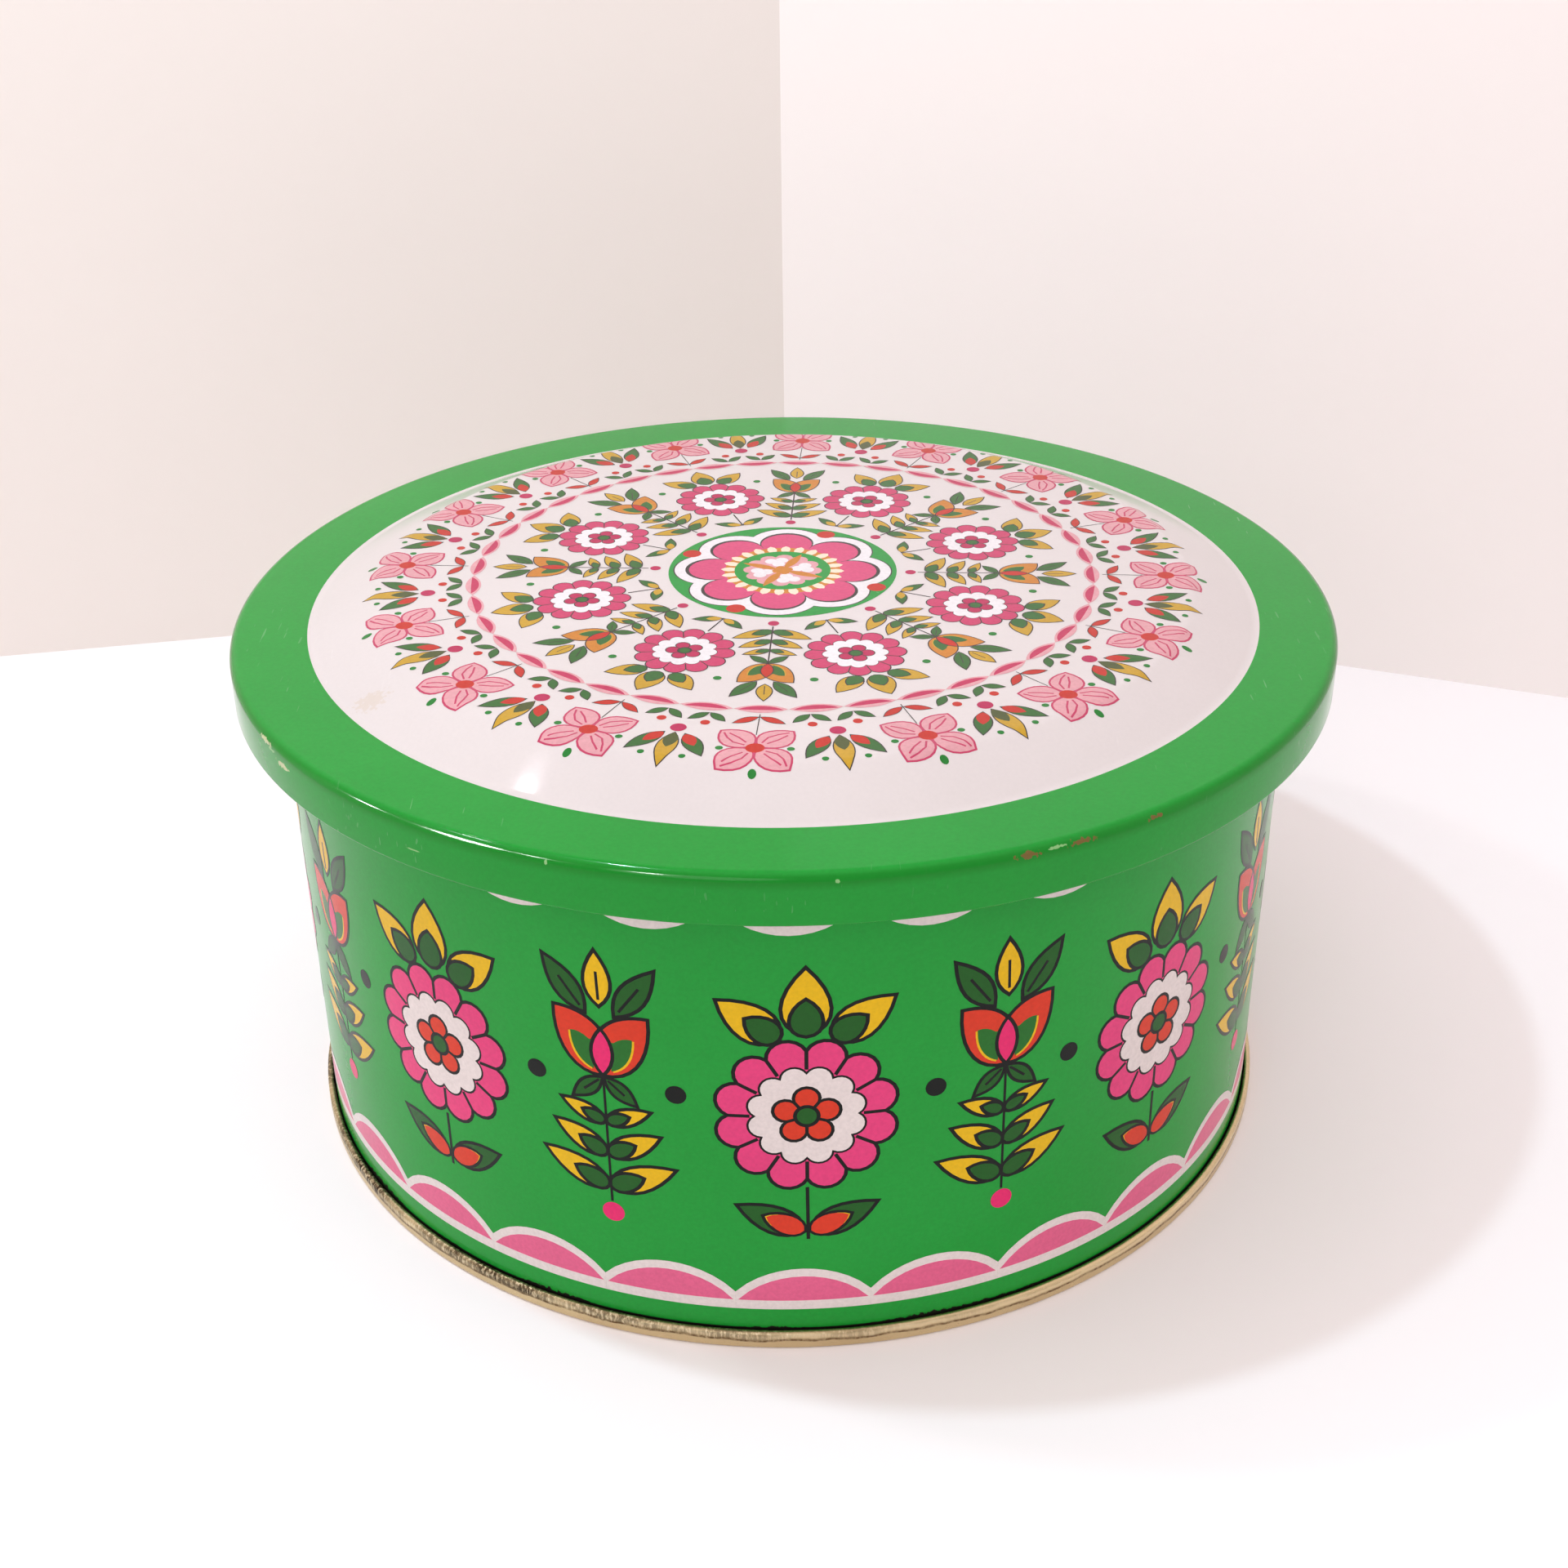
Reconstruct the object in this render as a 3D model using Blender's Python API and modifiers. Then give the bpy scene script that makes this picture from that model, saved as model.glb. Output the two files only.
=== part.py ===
"""A round tinplate bobbin box: a slip-on lid over a rolled wall whose foot is double-seamed to a base plate.

Metres, +Z up. The origin is the centre of the seam's foot, the plane that the box stands on.
Every piece is one pressed or rolled sheet, so each is the middle line of its section, turned and thickened.
"""

from math import atan, cos, degrees, pi, radians, sin, sqrt

import bpy

# Sheet and clearances
SHEET = 0.00028  # tinplate thickness
SEAM_GAP = 0.0002  # between the layers folded into the base seam
REST_GAP = 0.0003  # between the lid and the rim that it rests on
LID_CLEARANCE = 0.00068  # radial, between the lid's hem and the wall's rim

# Body wall
WALL_RADIUS = 0.0874  # outside
BODY_HEIGHT = 0.0917  # from the foot to the top of the rim
RIM_CURL = 0.0040  # diameter of the curl round the mouth

# Base seam and base plate
SEAM_HEIGHT = 0.0032
HOOK_CLEARANCE = 0.0006  # from each hook's end to the fold that it points into
PANEL_RECESS = 0.0026  # underside of the centre panel above the foot
GROOVE_DEPTH = 0.0010  # the ring round the panel, above it
GROOVE_WIDTH = 0.0034
STEP_MARGIN = 0.0120  # from the groove in to a stiffening step in the panel
STEP_HEIGHT = 0.0006

# Side seam, on the inside at the back
LAP_WIDTH = 0.0050
LAP_HEIGHT = 0.0006
LAP_MARGIN = 0.0020  # from the base groove below and from the rim curl above

# Lid
HEM_CURL = 0.0032  # diameter of the hem rolled inwards at the foot of the skirt
HEM_FOLD = 0.0005  # tight outer bend where the skirt turns into the hem
SKIRT_DEPTH = 0.0084  # from the ledge down to the foot of the hem
EDGE_RADIUS = 0.0016  # rounding between the ledge and the skirt
LEDGE_WIDTH = 0.0130  # flat ring outside the raised crown
SLOPE_WIDTH = 0.0125  # flank of the raised crown
SLOPE_BEND = 0.0041  # radius where the flank leaves the crown and meets the ledge
CROWN_RISE = 0.0044  # raised crown above the ledge

# Drawing
SEGMENTS = 48
MERGE = 0.00001

# Radii of the seam's layers, middle of the sheet, from the inside out
LAYER = SHEET + SEAM_GAP
WALL_LINE = WALL_RADIUS - SHEET / 2
CHUCK_LINE = WALL_LINE - LAYER
COVER_HOOK_LINE = WALL_LINE + LAYER
BODY_HOOK_LINE = COVER_HOOK_LINE + LAYER
SEAM_LINE = BODY_HOOK_LINE + LAYER
BODY_FOOT = SHEET + SEAM_GAP + SHEET / 2
STEP_RADIUS = CHUCK_LINE - GROOVE_WIDTH - STEP_MARGIN

# Lid radii and seat, from the rim that it slips over
RIM_RADIUS = WALL_RADIUS - SHEET + RIM_CURL
LID_RADIUS = RIM_RADIUS + LID_CLEARANCE + HEM_CURL
SKIRT_LINE = LID_RADIUS - SHEET / 2
LID_SEAT = BODY_HEIGHT + REST_GAP
SLOPE_FOOT = LID_RADIUS - LEDGE_WIDTH
CROWN_RADIUS = SLOPE_FOOT - SLOPE_WIDTH


def arc(centre, radius, start, end, steps, height=None):
    """Points (r, z) round a centre, from one angle to another in degrees, both ends included.

    A height makes it part of an ellipse that rises by that much instead of by its radius.
    """
    rise = radius if height is None else height
    points = []
    for step in range(steps + 1):
        angle = radians(start + (end - start) * step / steps)
        points.append((centre[0] + radius * cos(angle), centre[1] + rise * sin(angle)))
    return points


def ogee(foot, top, steps):
    """An S from a foot to a top, level at both ends: half a turn of a cosine."""
    points = []
    for step in range(steps + 1):
        part = step / steps
        lift = (1 - cos(pi * part)) / 2
        points.append((foot[0] + (top[0] - foot[0]) * part, foot[1] + (top[1] - foot[1]) * lift))
    return points


def flank(foot, top, bend, steps):
    """A straight slope between two level stretches, with a round bend at each end, from its top to its foot."""
    width, rise = foot[0] - top[0], top[1] - foot[1]
    spread = 4 * bend - rise
    tilt = 2 * degrees(atan((width - sqrt(width * width - rise * spread)) / spread))
    over = arc((top[0], top[1] - bend), bend, 90, 90 - tilt, steps)
    out = arc((foot[0], foot[1] + bend), bend, 270 - tilt, 270, steps)
    return over + out


def lacquer(name, colour, roughness, metallic):
    """A Principled material for one finish."""
    material = bpy.data.materials.new(name)
    material.use_nodes = True
    shader = material.node_tree.nodes["Principled BSDF"]
    shader.inputs["Base Color"].default_value = (*colour, 1.0)
    shader.inputs["Roughness"].default_value = roughness
    shader.inputs["Metallic"].default_value = metallic
    return material


def turned_sheet(name, line, height, material, collection, parent):
    """One piece: the middle line of its section, turned about Z and thickened to the sheet."""
    mesh = bpy.data.meshes.new(name)
    edges = [(i, i + 1) for i in range(len(line) - 1)]
    mesh.from_pydata([(r, 0.0, z) for r, z in line], edges, [])
    mesh.materials.append(material)
    piece = bpy.data.objects.new(name, mesh)
    piece.location.z = height
    piece.parent = parent
    collection.objects.link(piece)
    turn = piece.modifiers.new("Turn", "SCREW")
    turn.axis = "Z"
    turn.steps = SEGMENTS
    turn.render_steps = SEGMENTS
    turn.use_merge_vertices = True
    turn.merge_threshold = MERGE
    turn.use_smooth_shade = True
    thicken = piece.modifiers.new("Sheet", "SOLIDIFY")
    thicken.thickness = SHEET
    thicken.offset = 0.0
    thicken.use_even_offset = True
    return piece


def wall_line():
    """From the free edge of the rim curl, over it and down the wall, to the hook at its foot."""
    curl = RIM_CURL / 2 - SHEET / 2
    rim = arc((WALL_LINE + curl, BODY_HEIGHT - RIM_CURL / 2), curl, -130, 180, 12)
    turn = (BODY_HOOK_LINE - WALL_LINE) / 2
    hook = arc((WALL_LINE + turn, BODY_FOOT + turn), turn, 180, 360, 6)
    hook_end = (BODY_HOOK_LINE, SEAM_HEIGHT - SHEET - HOOK_CLEARANCE)
    return rim + hook + [hook_end]


def base_line():
    """From the centre of the panel, over the step and the groove, and round the seam to its hook."""
    panel = PANEL_RECESS + SHEET / 2
    raised = panel + STEP_HEIGHT
    step = ogee((STEP_RADIUS - 2 * STEP_HEIGHT, panel), (STEP_RADIUS, raised), 3)
    groove = GROOVE_WIDTH / 2
    middle = CHUCK_LINE - groove
    inner_side = ogee((middle - groove, raised), (middle, raised + GROOVE_DEPTH), 3)
    outer_side = arc((middle, raised), groove, 90, 0, 3, GROOVE_DEPTH)[1:]
    foot = SHEET / 2
    inner_corner = arc((CHUCK_LINE + LAYER, foot + LAYER), LAYER, 180, 270, 3)
    outer_corner = arc((SEAM_LINE - LAYER, foot + LAYER), LAYER, 270, 360, 3)
    turn = (SEAM_LINE - COVER_HOOK_LINE) / 2
    top = SEAM_HEIGHT - SHEET / 2
    fold = arc((SEAM_LINE - turn, top - turn), turn, 0, 180, 6)
    hook_end = (COVER_HOOK_LINE, BODY_FOOT + SHEET / 2 + HOOK_CLEARANCE)
    flat = [(0.0, panel)] + step + inner_side + outer_side
    return flat + inner_corner + outer_corner + fold + [hook_end]


def lid_line():
    """From the centre of the crown, down its flank, over the ledge and the skirt, to the rolled hem.

    Heights are above the rim's top and the gap that the lid keeps over it.
    """
    ledge = SHEET / 2
    slope = flank((SLOPE_FOOT, ledge), (CROWN_RADIUS, ledge + CROWN_RISE), SLOPE_BEND, 3)
    edge = EDGE_RADIUS - SHEET / 2
    corner = arc((SKIRT_LINE - edge, ledge - edge), edge, 90, 0, 4)
    curl = HEM_CURL / 2 - SHEET / 2
    foot = SHEET - SKIRT_DEPTH
    fold = HEM_FOLD - SHEET / 2
    turned_in = arc((SKIRT_LINE - fold, foot + HEM_FOLD), fold, 0, -90, 3)
    hem = turned_in + arc((SKIRT_LINE - curl, foot + HEM_CURL / 2), curl, -90, -290, 7)
    return [(0.0, ledge + CROWN_RISE)] + slope + corner + hem


def side_seam(wall, helpers):
    """The folded lap that closes the rolled wall, standing in from its inner face at the back."""
    low = PANEL_RECESS + STEP_HEIGHT + GROOVE_DEPTH + SHEET + LAP_MARGIN
    high = BODY_HEIGHT - RIM_CURL - LAP_MARGIN
    face = (WALL_RADIUS - SHEET) * cos(pi / SEGMENTS)
    depth = LAP_HEIGHT + SHEET / 2
    bpy.ops.mesh.primitive_cube_add(size=1.0)
    lap = bpy.context.object
    lap.name = "side_seam_lap"
    for vertex in lap.data.vertices:
        vertex.co.x *= LAP_WIDTH
        vertex.co.y = face + SHEET / 2 - depth / 2 + vertex.co.y * depth
        vertex.co.z = (low + high) / 2 + vertex.co.z * (high - low)
    for holder in list(lap.users_collection):
        holder.objects.unlink(lap)
    helpers.objects.link(lap)
    lap.hide_render = True
    lap.display_type = "WIRE"
    join = wall.modifiers.new("Side seam", "BOOLEAN")
    join.operation = "UNION"
    join.solver = "EXACT"
    join.object = lap


def build():
    for thing in list(bpy.data.objects):
        bpy.data.objects.remove(thing)
    scene = bpy.context.scene.collection
    pieces = bpy.data.collections.new("Bobbin box")
    helpers = bpy.data.collections.new("Helpers")
    scene.children.link(pieces)
    scene.children.link(helpers)
    stand = bpy.data.objects.new("stand", None)
    pieces.objects.link(stand)
    green = lacquer("green lacquer", (0.032, 0.32, 0.050), 0.25, 0.0)
    printed = lacquer("printed green lacquer", (0.026, 0.27, 0.043), 0.28, 0.0)
    gold = lacquer("gold lacquer", (0.50, 0.36, 0.20), 0.35, 1.0)
    turned_sheet("base_plate", base_line(), 0.0, gold, pieces, stand)
    wall = turned_sheet("body_wall", wall_line(), 0.0, printed, pieces, stand)
    side_seam(wall, helpers)
    turned_sheet("lid", lid_line(), LID_SEAT, green, pieces, stand)


build()
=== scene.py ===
"""The looks of a round tinplate bobbin box: lacquered sheets and a folk-flower print, on a pale studio floor.

Metres, +Z up, front at -Y. The print is drawn in millimetres on flat tiles: those of the wall are
wrapped round it, and those of the lid, drawn with outwards up, are laid on its crown.
"""

from math import atan, atan2, cos, degrees, pi, radians, sin, sqrt, tan

import bmesh
import bpy
from mathutils import Matrix, Vector
from mathutils.geometry import delaunay_2d_cdt


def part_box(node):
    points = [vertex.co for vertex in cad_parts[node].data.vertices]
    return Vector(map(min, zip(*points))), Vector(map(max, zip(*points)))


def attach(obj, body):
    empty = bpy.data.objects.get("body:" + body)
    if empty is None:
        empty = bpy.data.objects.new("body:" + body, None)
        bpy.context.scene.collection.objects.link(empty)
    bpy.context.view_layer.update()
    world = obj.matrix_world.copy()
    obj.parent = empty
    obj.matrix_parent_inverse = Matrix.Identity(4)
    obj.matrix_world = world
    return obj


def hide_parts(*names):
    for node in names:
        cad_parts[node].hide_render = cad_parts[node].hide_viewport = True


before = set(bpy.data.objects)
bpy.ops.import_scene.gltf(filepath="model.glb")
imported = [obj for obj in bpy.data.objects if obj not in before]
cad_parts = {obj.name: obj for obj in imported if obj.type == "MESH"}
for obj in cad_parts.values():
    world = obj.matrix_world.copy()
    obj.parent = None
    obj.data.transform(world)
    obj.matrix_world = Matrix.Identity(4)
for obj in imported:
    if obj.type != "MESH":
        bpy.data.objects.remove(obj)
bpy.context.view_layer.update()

MM = 0.001
FULL_TURN = 2 * pi

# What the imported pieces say
LID_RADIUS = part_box("lid")[1][0]
LID_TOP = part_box("lid")[1][2]
LID_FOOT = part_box("lid")[0][2]
RIM_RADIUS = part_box("body_wall")[1][0]
WALL_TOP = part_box("body_wall")[1][2]
WALL_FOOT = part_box("body_wall")[0][2]
SEAM_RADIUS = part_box("base_plate")[1][0]

# Sheet and folds, as the pieces are built
SHEET = 0.28 * MM
SEAM_GAP = 0.2 * MM
RIM_CURL = 4.0 * MM
SEAM_HEIGHT = 3.2 * MM
HOOK_CLEARANCE = 0.6 * MM
PANEL_RECESS = 2.6 * MM
GROOVE_DEPTH = 1.0 * MM
GROOVE_WIDTH = 3.4 * MM
STEP_MARGIN = 12.0 * MM
STEP_HEIGHT = 0.6 * MM
LAP_WIDTH = 5.0 * MM
LAP_HEIGHT = 0.6 * MM
LAP_MARGIN = 2.0 * MM
HEM_CURL = 3.2 * MM
HEM_FOLD = 0.5 * MM
EDGE_RADIUS = 1.6 * MM
LEDGE_WIDTH = 13.0 * MM
SLOPE_WIDTH = 12.5 * MM
SLOPE_BEND = 4.1 * MM
CROWN_RISE = 4.4 * MM

WALL_RADIUS = RIM_RADIUS + SHEET - RIM_CURL
WALL_LINE = WALL_RADIUS - SHEET / 2
LAYER = SHEET + SEAM_GAP
CHUCK_LINE = WALL_LINE - LAYER
COVER_HOOK_LINE = WALL_LINE + LAYER
BODY_HOOK_LINE = COVER_HOOK_LINE + LAYER
SEAM_LINE = SEAM_RADIUS - SHEET / 2
STEP_RADIUS = CHUCK_LINE - GROOVE_WIDTH - STEP_MARGIN
SLOPE_FOOT = LID_RADIUS - LEDGE_WIDTH
CROWN_RADIUS = SLOPE_FOOT - SLOPE_WIDTH
SLOPE_SPREAD = 4 * SLOPE_BEND - CROWN_RISE
SLOPE_TILT = 2 * atan((SLOPE_WIDTH - sqrt(SLOPE_WIDTH ** 2 - CROWN_RISE * SLOPE_SPREAD)) / SLOPE_SPREAD)
SIDE_SEAM_ANGLE = radians(90)

# The film of ink stands this far over the lacquer
INK_FILM = 0.03 * MM
TURN_STEPS = 240


# Camera, lights and floor

CAMERA_PLACE = (0.0, -0.3385, 0.2410)
CAMERA_PITCH = radians(28.91)
CAMERA_ROLL = radians(-0.753)
CAMERA_TURN = radians(0.04)
CAMERA_LENS = 48.15


def srgb(red, green, blue):
    """A colour given as a screen shows it, 0 to 255, made linear, with its alpha."""
    shares = [channel / 255 for channel in (red, green, blue)]
    linear = [s / 12.92 if s <= 0.04045 else ((s + 0.055) / 1.055) ** 2.4 for s in shares]
    return (*linear, 1.0)


def place_camera():
    camera = bpy.data.objects.new("camera", bpy.data.cameras.new("camera"))
    camera.data.lens = CAMERA_LENS
    camera.data.clip_start = 0.01
    turned = Matrix.Rotation(CAMERA_TURN, 4, "Z") @ Matrix.Rotation(pi / 2 - CAMERA_PITCH, 4, "X")
    tilted = turned @ Matrix.Rotation(CAMERA_ROLL, 4, "Z")
    camera.matrix_world = Matrix.Translation(CAMERA_PLACE) @ tilted
    bpy.context.scene.collection.objects.link(camera)
    bpy.context.scene.camera = camera


def place_area_light(name, place, size, power, colour):
    lamp = bpy.data.lights.new(name, "AREA")
    lamp.shape = "DISK"
    lamp.size = size
    lamp.energy = power
    lamp.color = colour
    light = bpy.data.objects.new(name, lamp)
    light.location = place
    light.rotation_mode = "QUATERNION"
    light.rotation_quaternion = (Vector(LIGHT_AIM) - Vector(place)).to_track_quat("-Z", "Y")
    bpy.context.scene.collection.objects.link(light)
    return light


# Small lamps that only make highlights: place, size and power. The first is for the slope, the rest for the edge.
GLINTS = (
    ((-0.218, 0.127, 0.5), 0.01, 0.06),
    ((-0.85, -0.43, 0.58), 0.25, 23.1),
    ((-0.98, -0.08, 0.49), 0.10, 3.2),
    ((-0.70, -0.59, 0.64), 0.09, 1.8),
    ((-0.40, -0.80, 0.69), 0.10, 2.2),
)
LIGHT_AIM = (0.0, 0.0, 0.05)


def light_studio():
    """A small lamp above and to the left draws the shadow, and the pale room fills the rest.

    The room is darker towards the front, so that the lid's rounded edge reads against its ledge.
    """
    world = bpy.data.worlds.new("studio")
    bpy.context.scene.world = world
    world.use_nodes = True
    tree = world.node_tree
    forward = parted(tree, add(tree, "ShaderNodeTexCoord").outputs["Generated"])[1]
    front = ramped(tree, forward, -0.1, -0.8)
    room = mixed(tree, front, (1.22, 1.075, 1.065, 1.0), (0.68, 0.61, 0.61, 1.0))
    feed(tree, tree.nodes["Background"], Color=room)
    place_area_light("key", (-0.137, -0.059, 0.50), 0.022, 0.64, (0.66, 0.88, 1.0))
    place_area_light("side_lamp", (-0.29, 0.0, 0.50), 0.03, 0.3, (0.9, 0.97, 1.0))
    place_area_light("fill", (-0.35, -1.1, 0.75), 0.7, 2.6, (0.96, 0.97, 1.0))


def light_glints(lid):
    """The highlight lamps, which reach only the lid."""
    lit = bpy.data.collections.new("lid_gloss")
    lit.objects.link(lid)
    for number, (place, size, power) in enumerate(GLINTS):
        light = place_area_light("glint_" + str(number), place, size, power, (1.0, 1.0, 1.0))
        light.visible_diffuse = False
        light.light_linking.receiver_collection = lit


# Node helpers


def add(tree, kind, feeds=None, **settings):
    """A node with its settings, each socket in feeds linked to an output or given a value."""
    node = tree.nodes.new(kind)
    for name, value in settings.items():
        setattr(node, name, value)
    for socket, value in (feeds or {}).items():
        if isinstance(value, bpy.types.NodeSocket):
            tree.links.new(value, node.inputs[socket])
        else:
            node.inputs[socket].default_value = value
    return node


def feed(tree, node, **outputs):
    """Outputs linked to a node's inputs, whose names are written with _ for a space."""
    for name, output in outputs.items():
        tree.links.new(output, node.inputs[name.replace("_", " ")])


def calc(tree, operation, *terms):
    """One step of arithmetic between outputs and plain numbers."""
    return add(tree, "ShaderNodeMath", dict(enumerate(terms)), operation=operation).outputs[0]


def times(tree, product, *others):
    for other in others:
        product = calc(tree, "MULTIPLY", product, other)
    return product


def combined(tree, x=0.0, y=0.0, z=0.0):
    return add(tree, "ShaderNodeCombineXYZ", {0: x, 1: y, 2: z}).outputs[0]


def parted(tree, vector):
    return add(tree, "ShaderNodeSeparateXYZ", {0: vector}).outputs


def length_of(tree, vector):
    return add(tree, "ShaderNodeVectorMath", {0: vector}, operation="LENGTH").outputs["Value"]


def own_place(tree):
    """Where a shaded point lies in the box's own frame."""
    return add(tree, "ShaderNodeTexCoord").outputs["Object"]


def new_tree(name, kind, takes, gives):
    """A node tree with sockets of the given names and types, its input's outputs and its output node."""
    tree = bpy.data.node_groups.new(name, kind)
    for way, sockets in (("INPUT", takes), ("OUTPUT", gives)):
        for label, socket in sockets.items():
            tree.interface.new_socket(label, in_out=way, socket_type="NodeSocket" + socket)
    return tree, tree.nodes.new("NodeGroupInput").outputs, tree.nodes.new("NodeGroupOutput")


def mixed(tree, factor, first, second, mode="MIX"):
    feeds = {0: factor, 6: first, 7: second}
    return add(tree, "ShaderNodeMix", feeds, data_type="RGBA", blend_type=mode).outputs[2]


def mark(tree, under, colour, mask):
    return mixed(tree, mask, under, colour)


def shaded(tree, colour, level):
    """A colour made lighter or darker by a level around 1."""
    return mixed(tree, 1.0, colour, combined(tree, level, level, level), "MULTIPLY")


def ramped(tree, value, low, high, start=0.0, end=1.0):
    """A value stretched from one range to another and held inside it."""
    feeds = {"Value": value, "From Min": low, "From Max": high, "To Min": start, "To Max": end}
    return add(tree, "ShaderNodeMapRange", feeds).outputs["Result"]


def noise(tree, place, scale, detail=3.0, roughness=0.55):
    feeds = {"Vector": place, "Scale": scale, "Detail": detail, "Roughness": roughness}
    return add(tree, "ShaderNodeTexNoise", feeds).outputs["Fac"]


def swing(tree, place, scale, detail, reach=1.0):
    """Noise that wanders evenly to both sides of zero."""
    return ramped(tree, noise(tree, place, scale, detail), 0.3, 0.7, -reach, reach)


# Shared effects

SURFACE = {"Colour": "Color", "Roughness": "Float", "Height": "Float"}


def make_lacquer_effect():
    """Baked lacquer or ink: faint mottle, a soft unevenness, orange peel and dulled patches."""
    takes = {"Colour": "Color", "Mottle": "Float", "Shift": "Float", "Gloss": "Float"}
    tree, given, result = new_tree("lacquer", "ShaderNodeTree", takes, SURFACE)
    place = own_place(tree)
    speckle = times(tree, swing(tree, place, 1600.0, 2.0), given["Mottle"])
    cloud = times(tree, swing(tree, place, 34.0, 4.0), given["Shift"])
    level = calc(tree, "ADD", calc(tree, "ADD", speckle, cloud), 1.0)
    dulled = ramped(tree, noise(tree, place, 60.0, 5.0, 0.65), 0.45, 0.8, 0.0, 0.07)
    rough = calc(tree, "ADD", given["Gloss"], dulled)
    peel = noise(tree, place, 420.0, 2.0)
    feed(tree, result, Colour=shaded(tree, given["Colour"], level), Roughness=rough, Height=peel)
    return tree


def make_scratch_effect():
    """Hairlines in two directions, gathered in patches."""
    tree, given, result = new_tree("hairlines", "ShaderNodeTree", {"Amount": "Float"}, {"Mask": "Float"})
    place = own_place(tree)
    lines = []
    for angle, stretch in ((25, 14.0), (-55, 10.0)):
        feeds = {"Vector": place, "Rotation": (0, 0, radians(angle)), "Scale": (stretch, 1.0, 3.0)}
        along = add(tree, "ShaderNodeMapping", feeds).outputs[0]
        lines.append(ramped(tree, noise(tree, along, 130.0, 1.0), 0.735, 0.75))
    patch = ramped(tree, noise(tree, place, 22.0, 2.0), 0.5, 0.62)
    feed(tree, result, Mask=times(tree, calc(tree, "MAXIMUM", *lines), patch, given["Amount"]))
    return tree


def make_spot_effect():
    """A ragged mark at one place, of the given half-sizes."""
    takes = {"Place": "Vector", "Turn": "Vector", "Size": "Vector", "Ragged": "Float"}
    tree, given, result = new_tree("spot", "ShaderNodeTree", takes, {"Mask": "Float"})
    place = own_place(tree)
    feeds = {"Vector": place, "Location": given["Place"], "Rotation": given["Turn"], "Scale": given["Size"]}
    local = add(tree, "ShaderNodeMapping", feeds, vector_type="TEXTURE").outputs[0]
    torn = swing(tree, place, 1500.0, 3.0)
    reach = calc(tree, "MULTIPLY_ADD", torn, given["Ragged"], length_of(tree, local))
    feed(tree, result, Mask=ramped(tree, reach, 1.0, 0.75))
    return tree


def make_tin_effect():
    """Rolled tinplate: a fine grain along the sheet and a few darker specks."""
    takes = {"Colour": "Color", "Tarnish": "Color", "Amount": "Float"}
    tree, given, result = new_tree("tinplate", "ShaderNodeTree", takes, SURFACE)
    place = own_place(tree)
    rolled = add(tree, "ShaderNodeMapping", {"Vector": place, "Scale": (1.0, 12.0, 12.0)}).outputs[0]
    grain = noise(tree, rolled, 260.0, 3.0)
    cloud = ramped(tree, noise(tree, place, 45.0, 5.0, 0.65), 0.42, 0.78)
    stained = mark(tree, given["Colour"], given["Tarnish"], times(tree, cloud, given["Amount"]))
    feed(tree, result, Colour=stained, Roughness=ramped(tree, grain, 0.3, 0.7, 0.24, 0.40), Height=grain)
    return tree


LACQUER = make_lacquer_effect()
HAIRLINES = make_scratch_effect()
SPOT = make_spot_effect()
TINPLATE = make_tin_effect()


# Finishes

LACQUER_SPECULAR = 0.2
WHITE = (1.0, 1.0, 1.0, 1.0)
CREAM = (186, 192, 146)
RUST = (112, 92, 48)
SCRAPE_AND_HIGHLIGHT = (132, 182, 118)

# On the lid's edge: degrees right of the front, drop below the ledge, half-sizes, raggedness, colour
CHIPS = (
    (-57.7, 1.3, 2.4, 0.45, 0.5, CREAM),
    (-54.0, 3.1, 2.2, 0.5, 0.5, CREAM),
    (-56.4, 2.0, 1.0, 0.3, 0.6, SCRAPE_AND_HIGHLIGHT),
    (-34.5, 5.0, 1.4, 0.16, 0.2, SCRAPE_AND_HIGHLIGHT),
    (20.9, 1.0, 1.9, 0.45, 0.8, RUST),
    (26.0, 0.9, 1.7, 0.4, 0.9, RUST),
    # The streak at 23.4 degrees is a rubbed scrape that is also a painted highlight along the edge.
    (23.4, 0.8, 1.6, 0.2, 0.6, SCRAPE_AND_HIGHLIGHT),
    (34.0, 0.9, 1.4, 0.25, 0.9, RUST),
    (4.2, 1.2, 0.3, 0.3, 0.5, SCRAPE_AND_HIGHLIGHT),
    (-20.6, 1.0, 0.2, 0.4, 0.5, SCRAPE_AND_HIGHLIGHT),
)


def finish(name, metallic=0.0):
    """A material with its Principled shader, ready for its colour, roughness and bump."""
    material = bpy.data.materials.new(name)
    material.use_nodes = True
    shader = material.node_tree.nodes["Principled BSDF"]
    shader.inputs["Metallic"].default_value = metallic
    return material, material.node_tree, shader


def use_effect(tree, effect, **values):
    return add(tree, "ShaderNodeGroup", values, node_tree=effect).outputs


def bump(tree, shader, height, distance):
    feeds = {"Height": height, "Distance": distance, "Strength": 1.0}
    feed(tree, shader, Normal=add(tree, "ShaderNodeBump", feeds).outputs[0])


def lacquered(name, colour, mottle, shift, gloss, scratches=0.0):
    """A glossy baked coat or ink, with hairlines if it has any, and the sockets that marks can still change."""
    material, tree, shader = finish(name)
    shader.inputs["Specular IOR Level"].default_value = LACQUER_SPECULAR
    coat = use_effect(tree, LACQUER, Colour=colour, Mottle=mottle, Shift=shift, Gloss=gloss)
    shade, rough, height = coat["Colour"], coat["Roughness"], coat["Height"]
    if scratches:
        lines = use_effect(tree, HAIRLINES, Amount=scratches)["Mask"]
        shade = mark(tree, shade, WHITE, times(tree, lines, 0.3))
        rough = calc(tree, "MULTIPLY_ADD", lines, 0.25, rough)
        height = calc(tree, "SUBTRACT", height, lines)
    feed(tree, shader, Base_Color=shade, Roughness=rough)
    bump(tree, shader, height, 0.006 * MM)
    return material, tree, shader, shade, rough


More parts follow.
